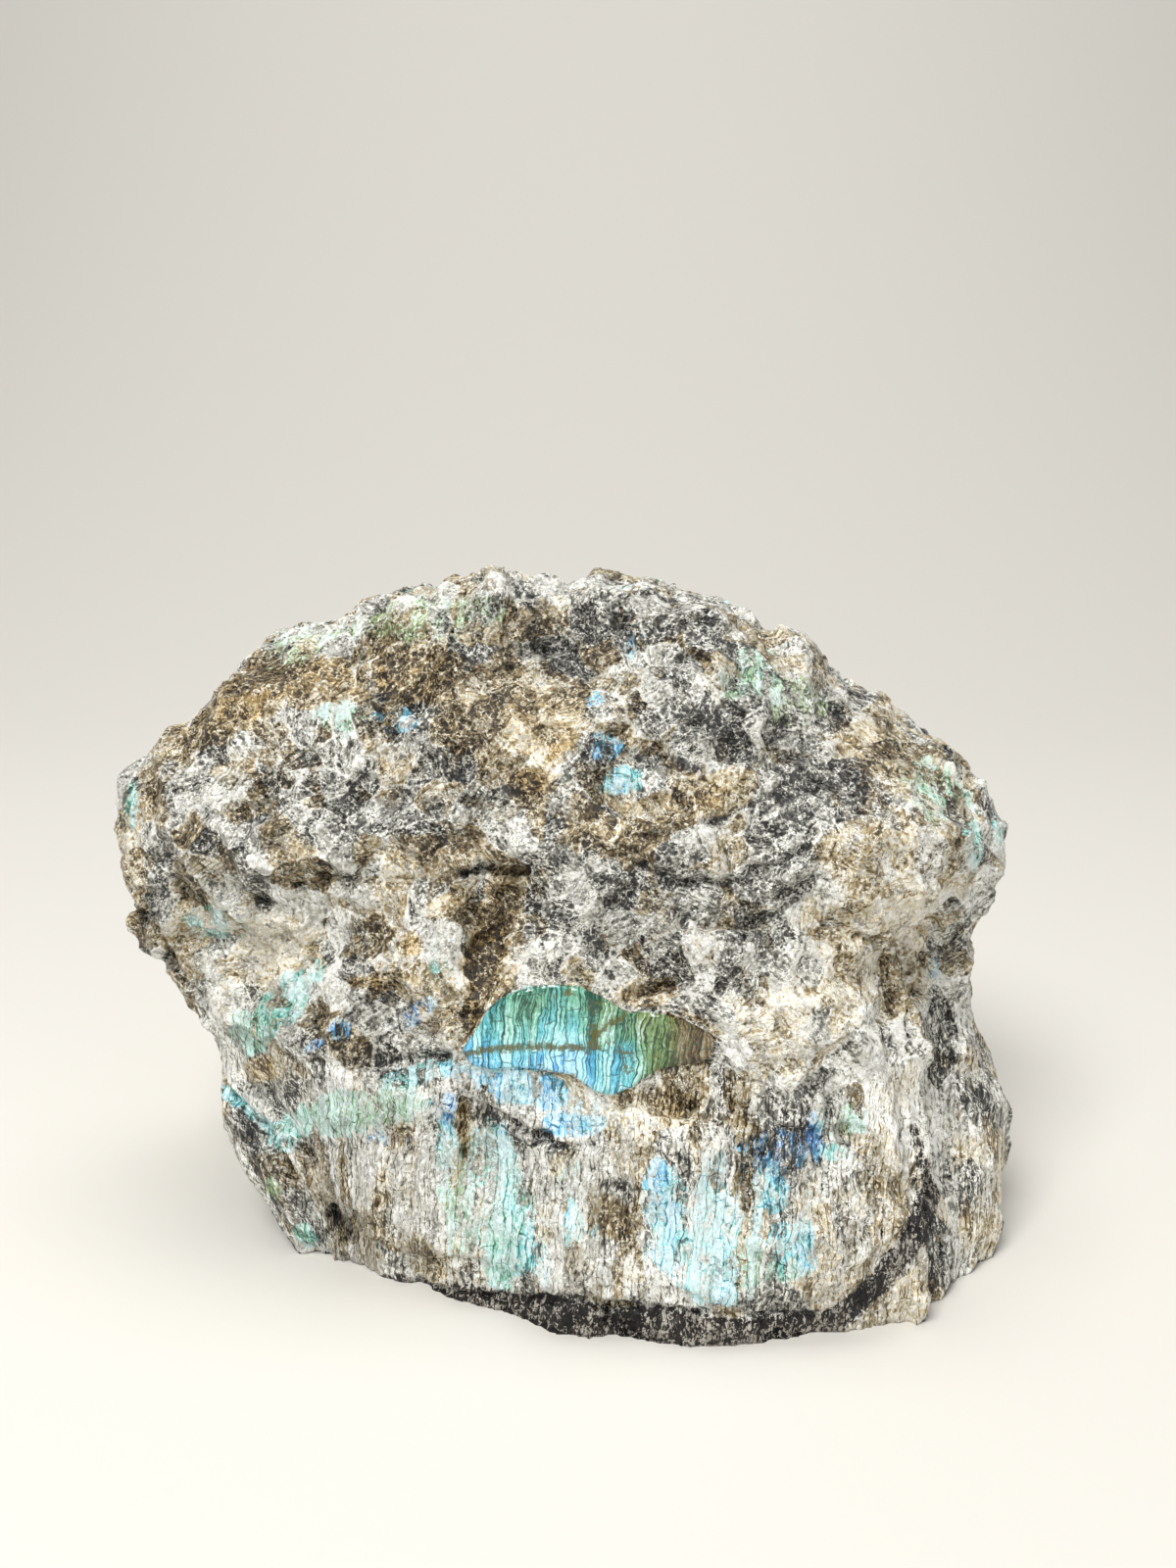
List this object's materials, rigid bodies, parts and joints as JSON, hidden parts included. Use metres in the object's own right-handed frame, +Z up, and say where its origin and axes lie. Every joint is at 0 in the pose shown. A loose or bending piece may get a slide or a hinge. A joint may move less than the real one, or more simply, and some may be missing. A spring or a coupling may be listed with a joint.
{
  "type": "labradorite with polished face",
  "caption": "Rough broken block of labradorite that stands on a sawn base, with a small leaf-shaped window ground flat and polished in its front.",
  "frame": {"origin": "on the sawn base, under the middle of the block's box", "axes": "+Z up, the face with the polished window looks along -Y, +X to the right seen from the front"},
  "size_m": [0.1416, 0.0866, 0.1019],
  "materials": {
    "rough_labradorite": "broken feldspar, cream, grey and tan, with blue and green schiller patches and one polished window"
  },
  "bodies": {
    "root": {"labradorite_block": "rough_labradorite"}
  },
  "joints": []
}
